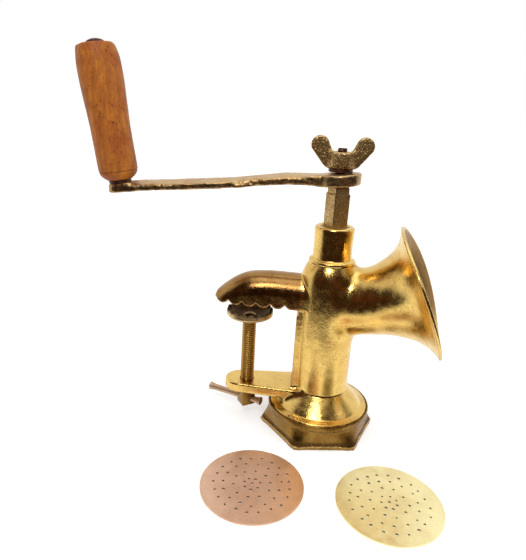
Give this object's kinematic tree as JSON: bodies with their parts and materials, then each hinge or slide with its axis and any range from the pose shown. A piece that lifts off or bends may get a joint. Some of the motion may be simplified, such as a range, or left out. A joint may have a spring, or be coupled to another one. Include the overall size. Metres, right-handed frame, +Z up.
{
  "type": "hand-cranked string hopper press",
  "caption": "Brass bench press with a horn hopper, a table clamp, a crank with a wooden grip, a feed worm and a perforated outlet disc under a hexagonal ring nut.",
  "frame": {"origin": "centre of the outlet, level with the ring nut's lower face, which is what the press stands on", "axes": "+Z up along the barrel and the crank's axis, +X away from the table clamp"},
  "size_m": [0.2734, 0.1644, 0.2789],
  "materials": {
    "polished_brass": "polished yellow brass with soft casting waves and brown toning",
    "aged_brass": "antique mottled brass, matt in the sweep, bright on the worn edges",
    "hood_brass": "brown-gold brass, smooth on top, rougher at the wavy edge",
    "cast_bronze": "dull bronze as cast, wavy edges, top face rubbed light",
    "sand_cast_brass": "coarse sand-cast grain with bright grains",
    "threaded_brass": "cut brass thread, golden, with darker roots",
    "pad_brass": "dark toothed rim and golden underside",
    "copper_bar": "pinkish copper-brown rod",
    "copper_disc": "pinkish copper-brass sheet, brushed and spotted",
    "pale_disc": "pale yellow brass sheet, lightly hammered",
    "dark_steel": "blackened steel",
    "turned_wood": "orange-brown turned hardwood with fine grain and dark specks"
  },
  "bodies": {
    "casting": {"barrel_casting": "polished_brass", "horn_hopper": "polished_brass", "clamp_jaw": "hood_brass", "clamp_lug": "polished_brass"},
    "crank": {"feed_worm": "sand_cast_brass", "thrust_washer": "polished_brass", "crank_stud": "dark_steel", "crank_arm": "cast_bronze", "handle_spindle": "dark_steel", "grip_washer_lower": "dark_steel", "grip_washer_upper": "dark_steel"},
    "grip": {"wooden_grip": "turned_wood"},
    "stud_washer": {"crank_washer": "dark_steel"},
    "wing": {"wing_nut": "sand_cast_brass"},
    "outlet_disc": {"fitted_disc": "pale_disc"},
    "ring": {"ring_nut": "aged_brass"},
    "pad": {"clamp_pad": "pad_brass"},
    "screw": {"clamp_screw": "threaded_brass"},
    "bar": {"tommy_bar": "copper_bar"},
    "fine_disc": {"loose_disc_fine": "copper_disc"},
    "coarse_disc": {"loose_disc_coarse": "pale_disc"}
  },
  "joints": [
    {"name": "crank_turn", "type": "hinge", "parent": "casting", "child": "crank", "pos_m": [0, 0, 0.143], "axis": [0, 0, 1], "continuous": true},
    {"name": "grip_spin", "type": "hinge", "parent": "crank", "child": "grip", "pos_m": [-0.1575, 0, 0.18414], "axis": [-0.1495, 0, 0.9888], "continuous": true},
    {"name": "washer_lift", "type": "slide", "parent": "crank", "child": "stud_washer", "axis": [0, 0, 1], "range_m": [0, 0.0132]},
    {"name": "wing_turn", "type": "hinge", "parent": "stud_washer", "child": "wing", "pos_m": [0, 0, 0.2037], "axis": [0, 0, 1], "range_deg": [0, 3801.6]},
    {"name": "disc_drop", "type": "slide", "parent": "casting", "child": "outlet_disc", "axis": [0, 0, -1], "range_m": [0, 0.0116]},
    {"name": "ring_turn", "type": "hinge", "parent": "outlet_disc", "child": "ring", "pos_m": [0, 0, 0], "axis": [0, 0, -1], "range_deg": [0, 2088]},
    {"name": "clamp_travel", "type": "slide", "parent": "casting", "child": "pad", "axis": [0, 0, 1], "range_m": [-0.05, 0]},
    {"name": "clamp_screw_turn", "type": "hinge", "parent": "pad", "child": "screw", "pos_m": [-0.0586, 0, 0.0257], "axis": [0, 0, 1], "range_deg": [-100, 145]},
    {"name": "bar_slide", "type": "slide", "parent": "screw", "child": "bar", "axis": [-0.9304, 0.3665, 0], "range_m": [-0.0028, 0.0032]},
    {"name": "fine_disc_lift", "type": "slide", "parent": "casting", "child": "fine_disc", "axis": [0, 0, 1], "range_m": [0, 0.06]},
    {"name": "coarse_disc_lift", "type": "slide", "parent": "casting", "child": "coarse_disc", "axis": [0, 0, 1], "range_m": [0, 0.06]}
  ],
  "couplings": [
    {"joint": "washer_lift", "follows": "wing_turn", "m_per_rad": 0.00019894},
    {"joint": "disc_drop", "follows": "ring_turn", "m_per_rad": 0.00031831}
  ]
}
